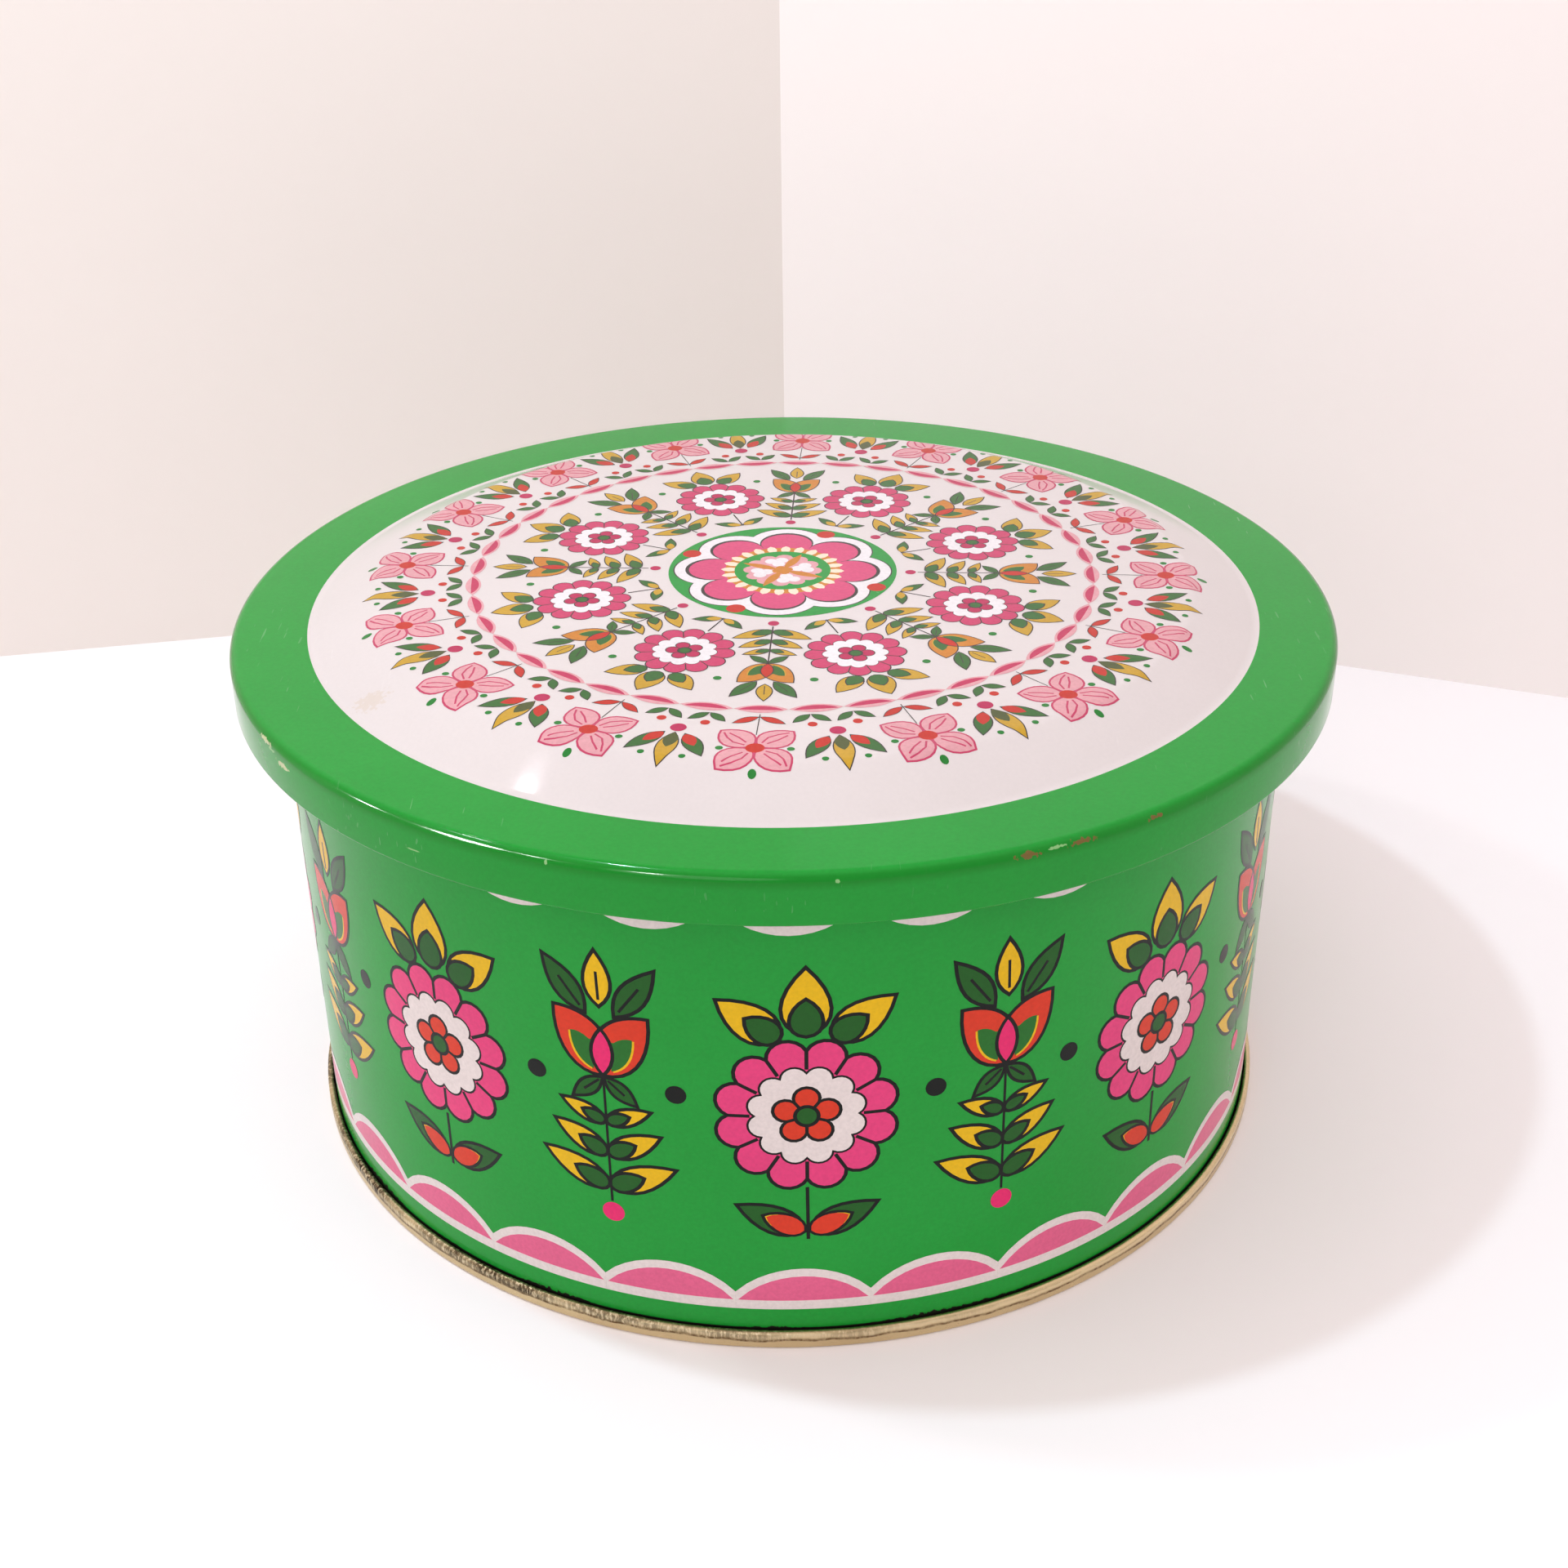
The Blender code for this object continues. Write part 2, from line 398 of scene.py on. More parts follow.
def spot(tree, place, half_sizes, ragged, turn=0.0):
    """The mask of one mark. Its first half-size runs round the box once it is turned to face out there."""
    values = {"Place": place, "Turn": (0.0, 0.0, turn), "Size": half_sizes, "Ragged": ragged}
    return use_effect(tree, SPOT, **values)["Mask"]


def on_rim(degrees_round, radius, height):
    """A place at an angle to the right of the front."""
    angle = radians(degrees_round)
    return (radius * sin(angle), -radius * cos(angle), height)


def make_lid_green():
    """The lid's green, darkened round the bend by painted shade, chipped to its cream undercoat and rubbed brown
    there.
    """
    material, tree, shader, colour, _ = lacquered("lid_green", srgb(23, 142, 46), 0.05, 0.04, 0.1, 0.25)
    height = parted(tree, own_place(tree))[2]
    ledge = LID_TOP - CROWN_RISE
    # Painted shade: a darker green in a band round the bend, just below the ledge.
    below = ramped(tree, height, ledge - 0.05 * MM, ledge - 0.5 * MM)
    above = ramped(tree, height, ledge - 2.6 * MM, ledge - 1.5 * MM)
    colour = mark(tree, colour, srgb(6, 112, 14), times(tree, below, above, 0.5))
    for angle, drop, length, depth, ragged, shade in CHIPS:
        place = on_rim(angle, LID_RADIUS - 0.2 * MM, ledge - drop * MM)
        mask = spot(tree, place, (length * MM, 0.8 * MM, depth * MM), ragged, radians(angle))
        colour = mark(tree, colour, srgb(*shade), mask)
    feed(tree, shader, Base_Color=colour)
    return material


def make_crown_white():
    """The white of the crown and its slope, with one faint brown stain."""
    white = srgb(209, 200, 198)
    material, tree, shader, colour, _ = lacquered("crown_white", white, 0.012, 0.015, 0.09, 0.15)
    place = on_rim(-56.5, 78 * MM, LID_TOP - 2.6 * MM)
    stain = spot(tree, place, (3.0 * MM, 2.2 * MM, 3.0 * MM), 0.6)
    feed(tree, shader, Base_Color=mark(tree, colour, srgb(196, 176, 152), times(tree, stain, 0.35)))
    return material


def make_wall_green():
    """The wall's green, blackened in the crease over the base seam by painted shade, with ragged dirt reaching up
    at the front and left.
    """
    material, tree, shader, colour, rough = lacquered("wall_green", srgb(23, 147, 50), 0.05, 0.04, 0.17)
    place = own_place(tree)
    spots = parted(tree, place)
    patches = ramped(tree, noise(tree, place, 30.0, 2.0), 0.42, 0.56)
    torn = ramped(tree, noise(tree, place, 900.0, 4.0, 0.7), 0.4, 0.64, 0.0, 1.3 * MM)
    dirt = times(tree, torn, patches, ramped(tree, spots[0], 0.045, 0.0))
    # The black band in the crease is painted shade, and partly dirt where it reaches up raggedly.
    reach = calc(tree, "SUBTRACT", spots[2], dirt)
    worn = ramped(tree, reach, SEAM_HEIGHT + 0.05 * MM, SEAM_HEIGHT - 0.05 * MM)
    dulled = calc(tree, "MULTIPLY_ADD", worn, 0.35, rough)
    feed(tree, shader, Base_Color=mark(tree, colour, srgb(20, 18, 14), worn), Roughness=dulled)
    return material


def make_ink(name, colour):
    return lacquered(name, colour, 0.06, 0.04, 0.22)[0]


def make_plate(name, colour, tarnish, amount):
    """Bare or gold-lacquered tinplate."""
    material, tree, shader = finish(name, metallic=1.0)
    tin = use_effect(tree, TINPLATE, Colour=colour, Tarnish=tarnish, Amount=amount)
    feed(tree, shader, Base_Color=tin["Colour"], Roughness=tin["Roughness"])
    bump(tree, shader, tin["Height"], 0.004 * MM)
    return material, tree, shader, tin


def make_seam_gold():
    """Gold lacquer over the seam: a brown line, a painted highlight, painted shade in the crease by the wall and,
    mostly at the left, worn upright nicks.
    """
    gold, tarnish = srgb(212, 192, 150), srgb(158, 130, 88)
    material, tree, shader, tin = make_plate("seam_gold", gold, tarnish, 0.3)
    place = own_place(tree)
    spots = parted(tree, place)
    radius = length_of(tree, combined(tree, spots[0], spots[1]))
    streaks = noise(tree, place, 900.0, 3.0, 0.7)
    wander = swing(tree, place, 160.0, 3.0, 0.25 * MM)

    height = calc(tree, "ADD", spots[2], wander)
    off_line = calc(tree, "ABSOLUTE", calc(tree, "SUBTRACT", height, 1.75 * MM))
    strength = ramped(tree, streaks, 0.35, 0.6, 0.25, 0.85)
    line = times(tree, ramped(tree, off_line, 0.3 * MM, 0.12 * MM), strength)
    colour = mark(tree, tin["Colour"], srgb(92, 62, 34), line)
    # Painted highlight: a pale band along the upper rounding of the fold.
    painted_highlight = times(tree, ramped(tree, height, 2.0 * MM, 2.3 * MM), ramped(tree, height, 2.95 * MM, 2.6 * MM), 0.6)
    colour = mark(tree, colour, srgb(250, 232, 192), painted_highlight)

    upright = add(tree, "ShaderNodeMapping", {"Vector": place, "Scale": (1.0, 1.0, 0.22)}).outputs[0]
    nicks = noise(tree, upright, 1700.0, 4.0, 0.75)
    blotch = ramped(tree, noise(tree, place, 70.0, 2.0), 0.35, 0.6, 0.15, 1.0)
    worn = times(tree, ramped(tree, spots[0], 0.035, -0.02), ramped(tree, height, 1.5 * MM, 2.1 * MM))
    dark = times(tree, worn, blotch, ramped(tree, nicks, 0.42, 0.54, 0.3, 1.0))
    colour = mark(tree, colour, srgb(58, 44, 32), dark)
    bright = times(tree, worn, 0.6, ramped(tree, nicks, 0.44, 0.36))
    colour = mark(tree, colour, srgb(232, 222, 198), bright)

    # Painted shade: the seam's fold is darkened on its inner side, in the crease against the wall.
    inward = ramped(tree, calc(tree, "ADD", radius, wander), SEAM_RADIUS - 1.05 * MM, SEAM_RADIUS - 1.2 * MM)
    painted_crease_shade = times(tree, inward, ramped(tree, spots[2], 1.2 * MM, 1.6 * MM))
    dulled = calc(tree, "MULTIPLY_ADD", painted_crease_shade, 0.3, tin["Roughness"])
    dulled = calc(tree, "MULTIPLY_ADD", worn, 0.15, dulled)
    feed(tree, shader, Base_Color=mark(tree, colour, srgb(20, 16, 12), painted_crease_shade), Roughness=dulled)
    bump(tree, shader, calc(tree, "MULTIPLY_ADD", nicks, worn, streaks), 0.03 * MM)
    return material


def make_stage_paint(name, colour, see_through_back):
    """Matt pale paint. A backdrop is seen from its front only, so that it never hides the box."""
    material, tree, shader = finish(name)
    level = ramped(tree, noise(tree, own_place(tree), 3.0, 3.0), 0.3, 0.7, 0.985, 1.015)
    feed(tree, shader, Base_Color=shaded(tree, colour, level))
    shader.inputs["Roughness"].default_value = 0.75
    shader.inputs["Specular IOR Level"].default_value = 0.2
    if see_through_back:
        clear = add(tree, "ShaderNodeBsdfTransparent")
        back = add(tree, "ShaderNodeNewGeometry").outputs["Backfacing"]
        seen = add(tree, "ShaderNodeMixShader", {0: back, 1: shader.outputs[0], 2: clear.outputs[0]})
        feed(tree, tree.nodes["Material Output"], Surface=seen.outputs[0])
    return material


def stage_panel(name, corners, material):
    mesh = bpy.data.meshes.new(name)
    mesh.from_pydata(corners, [], [tuple(range(len(corners)))])
    mesh.materials.append(material)
    panel = bpy.data.objects.new(name, mesh)
    bpy.context.scene.collection.objects.link(panel)


BACKDROP_CORNER = (0.001, 0.215)
BACKDROP_LEFT = (-0.60, 0.101)
BACKDROP_RIGHT = (0.60, -0.018)
BACKDROP_HEIGHT = 0.9


def build_stage():
    """A pale floor, and two pale boards that meet behind the box, the left one painted darker than the right as
    painted shade.
    """
    floor = make_stage_paint("floor_paint", srgb(250, 248, 250), False)
    size = 3.0
    stage_panel("floor", [(-size, -size, 0), (size, -size, 0), (size, size, 0), (-size, size, 0)], floor)
    boards = (
        # The left board is darker than the right by painted shade: the right one is painted as if lit more by the
        # lamp on the left.
        ("backdrop_left", srgb(236, 227, 221), BACKDROP_LEFT, BACKDROP_CORNER),
        ("backdrop_right", srgb(246, 238, 235), BACKDROP_CORNER, BACKDROP_RIGHT),
    )
    for name, colour, start, end in boards:
        board = make_stage_paint(name + "_paint", colour, True)
        low = [(*start, 0.0), (*end, 0.0)]
        high = [(*end, BACKDROP_HEIGHT), (*start, BACKDROP_HEIGHT)]
        stage_panel(name, low + high, board)


# Pieces and trees


def made_by(tree, mesh, sizes):
    """The plain mesh that a tree makes of a starting mesh, its inputs set by their identifiers."""
    holder = bpy.data.objects.new("holder", mesh)
    bpy.context.scene.collection.objects.link(holder)
    modifier = holder.modifiers.new("Make", "NODES")
    modifier.node_group = tree
    for socket in tree.interface.items_tree:
        if socket.in_out == "INPUT" and socket.name in sizes:
            modifier[socket.identifier] = sizes[socket.name]
    graph = bpy.context.evaluated_depsgraph_get()
    made = bpy.data.meshes.new_from_object(holder.evaluated_get(graph), depsgraph=graph)
    holder.modifiers.remove(modifier)
    bpy.data.objects.remove(holder)
    return made


def piece(name, mesh, body):
    """A piece of the box, at the origin, riding on its body."""
    mesh.name = name
    made = bpy.data.objects.new(name, mesh)
    bpy.context.scene.collection.objects.link(made)
    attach(made, body)
    return made


def arc(centre, radius, start, end, steps, height=None):
    """Points (r, z) round a centre, from one angle to another in degrees, both ends included.

    A height makes it part of an ellipse that rises by that much instead of by its radius.
    """
    rise = radius if height is None else height
    points = []
    for step in range(steps + 1):
        angle = radians(start + (end - start) * step / steps)
        points.append((centre[0] + radius * cos(angle), centre[1] + rise * sin(angle)))
    return points


def ogee(foot, top, steps):
    """An S from a foot to a top, level at both ends: half a turn of a cosine."""
    points = []
    for step in range(steps + 1):
        part = step / steps
        lift = (1 - cos(pi * part)) / 2
        points.append((foot[0] + (top[0] - foot[0]) * part, foot[1] + (top[1] - foot[1]) * lift))
    return points


def flank(foot, top, steps):
    """The crown's straight slope, with a round bend at each end, from its top to its foot."""
    tilt = degrees(SLOPE_TILT)
    over = arc((top[0], top[1] - SLOPE_BEND), SLOPE_BEND, 90, 90 - tilt, steps)
    out = arc((foot[0], foot[1] + SLOPE_BEND), SLOPE_BEND, 270 - tilt, 270, steps)
    return over + out


def wall_line():
    """From the free edge of the rim curl, over it and down the wall, to the hook at its foot."""
    curl = RIM_CURL / 2 - SHEET / 2
    rim = arc((WALL_LINE + curl, WALL_TOP - RIM_CURL / 2), curl, -130, 180, 30)
    turn = (BODY_HOOK_LINE - WALL_LINE) / 2
    foot = WALL_FOOT + SHEET / 2
    hook = arc((WALL_LINE + turn, foot + turn), turn, 180, 360, 12)
    return rim + hook + [(BODY_HOOK_LINE, SEAM_HEIGHT - SHEET - HOOK_CLEARANCE)]


def base_line():
    """From the centre of the panel, over the step and the groove, and round the seam to its hook."""
    panel = PANEL_RECESS + SHEET / 2
    raised = panel + STEP_HEIGHT
    step = ogee((STEP_RADIUS - 2 * STEP_HEIGHT, panel), (STEP_RADIUS, raised), 8)
    groove = GROOVE_WIDTH / 2
    middle = CHUCK_LINE - groove
    inner_side = ogee((middle - groove, raised), (middle, raised + GROOVE_DEPTH), 8)
    outer_side = arc((middle, raised), groove, 90, 0, 10, GROOVE_DEPTH)[1:]
    foot = SHEET / 2
    inner_corner = arc((CHUCK_LINE + LAYER, foot + LAYER), LAYER, 180, 270, 8)
    outer_corner = arc((SEAM_LINE - LAYER, foot + LAYER), LAYER, 270, 360, 8)
    turn = (SEAM_LINE - COVER_HOOK_LINE) / 2
    fold = arc((SEAM_LINE - turn, SEAM_HEIGHT - SHEET / 2 - turn), turn, 0, 180, 14)
    hook_end = (COVER_HOOK_LINE, WALL_FOOT + SHEET + HOOK_CLEARANCE)
    flat = [(0.0, panel)] + step + inner_side + outer_side
    return flat + inner_corner + outer_corner + fold + [hook_end]


def lid_line():
    """From the centre of the crown, down its flank, over the ledge and the skirt, to the rolled hem."""
    crown = LID_TOP - SHEET / 2
    ledge = crown - CROWN_RISE
    slope = flank((SLOPE_FOOT, ledge), (CROWN_RADIUS, crown), 8)
    edge = EDGE_RADIUS - SHEET / 2
    line = LID_RADIUS - SHEET / 2
    corner = arc((line - edge, ledge - edge), edge, 90, 0, 12)
    curl = HEM_CURL / 2 - SHEET / 2
    fold = HEM_FOLD - SHEET / 2
    hem = arc((line - fold, LID_FOOT + HEM_FOLD), fold, 0, -90, 8)
    hem += arc((line - curl, LID_FOOT + HEM_CURL / 2), curl, -90, -290, 20)
    return [(0.0, crown)] + slope + corner + hem


def both_faces(line):
    """A sheet's section, from its middle line: the face on its left, then back along the other."""
    left, right = [], []
    last = len(line) - 1
    for i, point in enumerate(line):
        here = Vector(point)
        before = (here - Vector(line[i - 1])).normalized() if i else None
        after = (Vector(line[i + 1]) - here).normalized() if i < last else before
        before = before or after
        along = (before + after).normalized()
        across = Vector((-along.y, along.x)) * (SHEET / 2 / max(along.dot(after), 0.5))
        left.append(here + across)
        right.append(here - across)
    return left, right[::-1]


def make_turning_tree():
    """A section turned about Z, with each stretch of it in one of three finishes."""
    finishes = ("Face finish", "Inner finish", "Back finish")
    takes = {"Section": "Geometry", "Steps": "Int", **dict.fromkeys(finishes, "Material")}
    tree, given, result = new_tree("turned_sheet", "GeometryNodeTree", takes, {"Sheet": "Geometry"})
    count = add(tree, "GeometryNodeAttributeDomainSize", {0: given["Section"]}).outputs["Point Count"]
    columns = calc(tree, "ADD", given["Steps"], 1)
    grid = add(tree, "GeometryNodeMeshGrid", {"Vertices X": columns, "Vertices Y": count}).outputs["Mesh"]
    spots = parted(tree, add(tree, "GeometryNodeInputPosition").outputs[0])
    angle = times(tree, calc(tree, "ADD", spots[0], 0.5), FULL_TURN)
    row = times(tree, calc(tree, "ADD", spots[1], 0.5), calc(tree, "SUBTRACT", count, 1))

    read = add(tree, "GeometryNodeInputNamedAttribute", {"Name": "finish"}, data_type="INT").outputs[0]
    stretch = calc(tree, "FLOOR", row)
    feeds = {"Geometry": given["Section"], "Value": read, "Index": stretch}
    which = add(tree, "GeometryNodeSampleIndex", feeds, data_type="INT").outputs[0]
    feeds = {"Geometry": grid, "Name": "finish", "Value": which}
    zoned = add(tree, "GeometryNodeStoreNamedAttribute", feeds, data_type="INT", domain="FACE").outputs[0]

    place = add(tree, "GeometryNodeInputPosition").outputs[0]
    feeds = {"Geometry": given["Section"], "Value": place, "Index": calc(tree, "ROUND", row)}
    point = add(tree, "GeometryNodeSampleIndex", feeds, data_type="FLOAT_VECTOR").outputs[0]
    section = parted(tree, point)
    across = times(tree, section[0], calc(tree, "COSINE", angle))
    along = times(tree, section[0], calc(tree, "SINE", angle))
    turned = combined(tree, across, along, section[2])
    shape = add(tree, "GeometryNodeSetPosition", {"Geometry": zoned, "Position": turned}).outputs[0]
    shape = add(tree, "GeometryNodeMergeByDistance", {"Geometry": shape, "Distance": 0.001 * MM}).outputs[0]
    shape = add(tree, "GeometryNodeSetShadeSmooth", {"Geometry": shape}).outputs[0]
    shape = add(tree, "GeometryNodeRealizeInstances", {"Geometry": shape}).outputs[0]
    for number, name in enumerate(finishes):
        equal = add(tree, "FunctionNodeCompare", {2: read, 3: number}, data_type="INT", operation="EQUAL")
        feeds = {"Geometry": shape, "Selection": equal.outputs[0], "Material": given[name]}
        shape = add(tree, "GeometryNodeSetMaterial", feeds).outputs[0]
    tree.links.new(shape, result.inputs[0])
    return tree


def turned_sheet(tree, line, face, back, inner=None, inner_radius=0.0):
    """A sheet turned from its middle line. The face takes its inner finish within a radius."""
    left, right = both_faces(line)
    closed = left + right + ([left[0]] if line[0][0] > 0 else [])
    mesh = bpy.data.meshes.new("section")
    mesh.from_pydata([(r, 0.0, z) for r, z in closed], [(i, i + 1) for i in range(len(closed) - 1)], [])
    zones = mesh.attributes.new("finish", "INT", "POINT")
    for i in range(len(closed) - 1):
        if i >= len(left) - 1:
            zones.data[i].value = 2
        elif (closed[i][0] + closed[i + 1][0]) / 2 < inner_radius:
            zones.data[i].value = 1
    sizes = {"Steps": TURN_STEPS, "Face finish": face, "Inner finish": inner or face, "Back finish": back}
    made = made_by(tree, mesh, sizes)
    shell = bmesh.new()
    shell.from_mesh(made)
    bmesh.ops.recalc_face_normals(shell, faces=shell.faces)
    shell.to_mesh(made)
    shell.free()
    made.set_sharp_from_angle(angle=radians(50))
    return made


# Outlines for the print, in millimetres


def counter_clockwise(outline):
    area = sum(a[0] * b[1] - b[0] * a[1] for a, b in zip(outline, outline[1:] + outline[:1]))
    return outline if area > 0 else outline[::-1]


def grown(outline, by):
    """The outline moved outwards all round, or inwards if the distance is negative."""
    corners = [Vector(point) for point in counter_clockwise(outline)]
    moved = []
    for i, corner in enumerate(corners):
        ahead = (corners[(i + 1) % len(corners)] - corner).normalized()
        behind = (corner - corners[i - 1]).normalized()
        out = Vector((ahead.y + behind.y, -ahead.x - behind.x)).normalized()
        slant = out.dot(Vector((ahead.y, -ahead.x)))
        moved.append(tuple(corner + out * (by / max(slant, 0.5))))
    return moved


def bend(start, first, second, end, steps=9):
    """A Bezier curve's points, without its last."""
    points = []
    for step in range(steps):
        t = step / steps
        shares = ((1 - t) ** 3, 3 * t * (1 - t) ** 2, 3 * t * t * (1 - t), t ** 3)
        ends = (start, first, second, end)
        points.append(tuple(sum(share * point[k] for share, point in zip(shares, ends)) for k in (0, 1)))
    return points


def disc(x, y, radius, steps=18, height=None):
    angles = [FULL_TURN * step / steps for step in range(steps)]
    return [(x + radius * cos(angle), y + (height or radius) * sin(angle)) for angle in angles]


def rosette(radius, lobe, count, first, steps=8):
    """Round lobes side by side, the first at an angle in degrees."""
    reach = radius - lobe
    half = pi / count
    notch = reach * cos(half) + sqrt(lobe ** 2 - (reach * sin(half)) ** 2)
    swing = atan2(notch * sin(half), notch * cos(half) - reach)
    outline = []
    for number in range(count):
        middle = radians(first) + 2 * half * number
        for step in range(steps):
            angle = middle - swing + 2 * swing * step / steps
            x = reach * cos(middle) + lobe * cos(angle)
            y = reach * sin(middle) + lobe * sin(angle)
            outline.append((x, y))
    return outline


def leaf(base, tip, width, belly=0.15, shoulder=0.6, steps=8):
    """A leaf with a round base and a pointed tip. Belly 0.35 makes both ends pointed."""
    base, tip = Vector(base), Vector(tip)
    along = tip - base
    across = Vector((-along.y, along.x)).normalized() * width
    left = bend(base, base + along * belly + across * 0.7, base + along * shoulder + across * 0.63, tip, steps)
    right = bend(tip, base + along * shoulder - across * 0.63, base + along * belly - across * 0.7, base, steps)
    return left + right


def ribbon(points, width):
    """A line of even width through two or more points."""
    left, right = [], []
    for i, point in enumerate(points):
        along = Vector(points[min(i + 1, len(points) - 1)]) - Vector(points[max(i - 1, 0)])
        across = Vector((-along.y, along.x)).normalized() * width / 2
        left.append(tuple(Vector(point) + across))
        right.append(tuple(Vector(point) - across))
    return left + right[::-1]


def edged(ink, outline, line):
    """A shape with a dark line drawn half inside and half outside it."""
    return [("line", grown(outline, line / 2)), (ink, grown(outline, -line / 2))]


def placed(shapes, x=0.0, y=0.0, turn=0.0, scale=1.0):
    """Shapes scaled, turned counter-clockwise in degrees, and then moved."""
    c, s = cos(radians(turn)) * scale, sin(radians(turn)) * scale
    return [(ink, [(x + c * px - s * py, y + s * px + c * py) for px, py in line]) for ink, line in shapes]


def mirrored(shapes):
    return [(ink, [(-x, y) for x, y in outline]) for ink, outline in shapes]


def both_sides(shapes):
    return shapes + mirrored(shapes)


def in_inks(shapes, swaps):
    return [(swaps.get(ink, ink), outline) for ink, outline in shapes]


# Motifs, in millimetres, upright


def part_way(base, tip, share):
    return tuple(b + (t - b) * share for b, t in zip(base, tip))


def leaf_with_drop(base, tip, width, drop_share, drop_width, line):
    """A yellow leaf with a dark green drop at its base."""
    outer = edged("yellow", leaf(base, tip, width), line)
    return outer + edged("dark_green", leaf(base, part_way(base, tip, drop_share), drop_width, 0.05, 0.72), line)


def veined_leaf(ink, base, tip, width, line, belly=0.3):
    vein = ribbon([part_way(base, tip, 0.12), part_way(base, tip, 0.62)], line * 0.8)
    return edged(ink, leaf(base, tip, width, belly), line) + [("line", vein)]


def crown_leaves(line):
    side = leaf_with_drop((3.96, 14.0), (13.3, 20.9), 6.4, 0.55, 4.6, line)
    middle = leaf_with_drop((0.0, 14.5), (0.0, 26.75), 7.5, 0.55, 5.1, line)
    return both_sides(side) + middle


def blossom(line):
    """A pink rosette, a white one on it and five red petals round a green eye."""
    shapes = edged("pink", rosette(14.15, 3.15, 12, 15), line)
    for number in range(12):
        shapes += placed([("line", ribbon([(8.6, 0.0), (11.9, 0.0)], line))], turn=30 * number)
    shapes += edged("white", rosette(9.2, 2.15, 12, 15), line * 0.6)
    shapes += edged("red", rosette(5.3, 2.0, 5, 90, 10), line * 0.9)
    for number in range(5):
        shapes += placed([("line", ribbon([(1.5, 0.0), (3.2, 0.0)], line * 0.9))], turn=54 + 72 * number)
    return shapes + [("line", disc(0, 0, 2.1)), ("dark_green", disc(0, 0, 1.5))]


def flower_foot(line):
    """The stem with its pair of dark leaves, each with a red drop."""
    base, tip = (0.35, -22.3), (11.0, -17.2)
    shapes = edged("dark_green", leaf(base, tip, 5.2, 0.2, 0.6), line)
    drop_tip = part_way(base, tip, 0.62)
    shapes += edged("yellow", leaf(base, drop_tip, 3.9, 0.1, 0.75), line * 0.9)
    shapes.append(("red", leaf(part_way(base, tip, 0.02), part_way(base, tip, 0.57), 3.5, 0.1, 0.75)))
    return both_sides(shapes) + [("line", ribbon([(0.0, -13.6), (0.1, -23.9)], 0.55))]


def flower(line):
    return flower_foot(line) + crown_leaves(line) + blossom(line)


def tulip_petal(line):
    """The left petal, with the green hollow edged in yellow that shows behind the bud."""
    top = bend((-7.6, 16.1), (-4.4, 16.3), (-1.6, 15.3), (0.0, 13.0))
    side = bend((0.0, 4.6), (-5.2, 4.2), (-8.0, 9.5), (-7.6, 16.1))
    hollow = bend((-5.0, 12.0), (-5.0, 8.6), (-3.6, 6.4), (-1.4, 5.6)) + [(-1.4, 5.6), (-1.4, 11.0)]
    hollow += bend((-2.0, 11.0), (-3.0, 11.9), (-4.0, 12.2), (-5.0, 12.0), 4)
    rim = [(x - 0.32, y - 0.18) for x, y in hollow]
    return edged("red", top + [(0.0, 13.0)] + side, line) + [("yellow", rim), ("mid_green", hollow)]


def tulip_head(line):
    bud = edged("magenta", leaf((0.0, 4.6), (0.0, 13.2), 3.5, 0.3, 0.7), line)
    side = veined_leaf("dark_green", (2.3, 15.7), (8.9, 24.9), 4.4, line)
    top = veined_leaf("yellow", (0.0, 17.2), (-0.3, 27.2), 4.4, line, 0.25)
    return both_sides(side) + top + both_sides(tulip_petal(line)) + bud


def tulip_stalk(line):
    """The stem with two drooping leaves under the head and three pairs of leaves below."""
    shapes = both_sides(veined_leaf("dark_green", (0.1, 4.3), (5.3, -0.3), 2.9, line * 0.9, 0.35))
    pairs = (((0.1, -4.1), (7.4, -1.0), 3.2), ((0.1, -10.3), (8.8, -5.5), 4.2), ((0.1, -16.6), (11.0, -11.5), 4.9))
    for base, tip, width in pairs:
        shapes += both_sides(leaf_with_drop(base, tip, width, 0.52, width * 0.74, line))
    return shapes + [("line", ribbon([(0.0, 4.6), (0.2, -19.6)], 0.42))]


def tulip(line):
    return tulip_stalk(line) + tulip_head(line) + [("magenta", disc(0.3, -21.7, 1.87))]


BAND_LOW = 7.1
ROSE_LOW = 8.9
ARCH_LOW = 10.5
ARCH_RISE = 5.0
ROSE_MARGIN = 0.35
ARCH_OVERLAP = 0.05


def scallop_arc(half_chord, low, left, right, steps=12):
    """Points from right to left along a round arch, within two limits."""
    radius = (half_chord ** 2 + ARCH_RISE ** 2) / (2 * ARCH_RISE)
    points = []
    for step in range(steps + 1):
        x = right + (left - right) * step / steps
        points.append((x, low + ARCH_RISE - radius + sqrt(max(radius ** 2 - x * x, 0.0))))
    return points


def scallop(left, right, half_chord):
    """A white-edged rose scallop standing on a white band, cut off at two limits."""
    band = [(left, BAND_LOW), (right, BAND_LOW)] + scallop_arc(half_chord + ARCH_OVERLAP, ARCH_LOW, left, right)
    rose = half_chord - ROSE_MARGIN
    left, right = max(left, -rose), min(right, rose)
    arch = [(left, ROSE_LOW), (right, ROSE_LOW)] + scallop_arc(rose, ROSE_LOW, left, right)
    return [("white", band), ("rose", arch)]


# Motifs of the lid


def two_tone_leaf(base, tip, width, line, tip_ink, base_ink, share=0.55):
    half = leaf(part_way(base, tip, 0.03), part_way(base, tip, share), width * 0.72, 0.2, 0.7)
    return edged(tip_ink, leaf(base, tip, width, 0.3), line) + [(base_ink, half)]


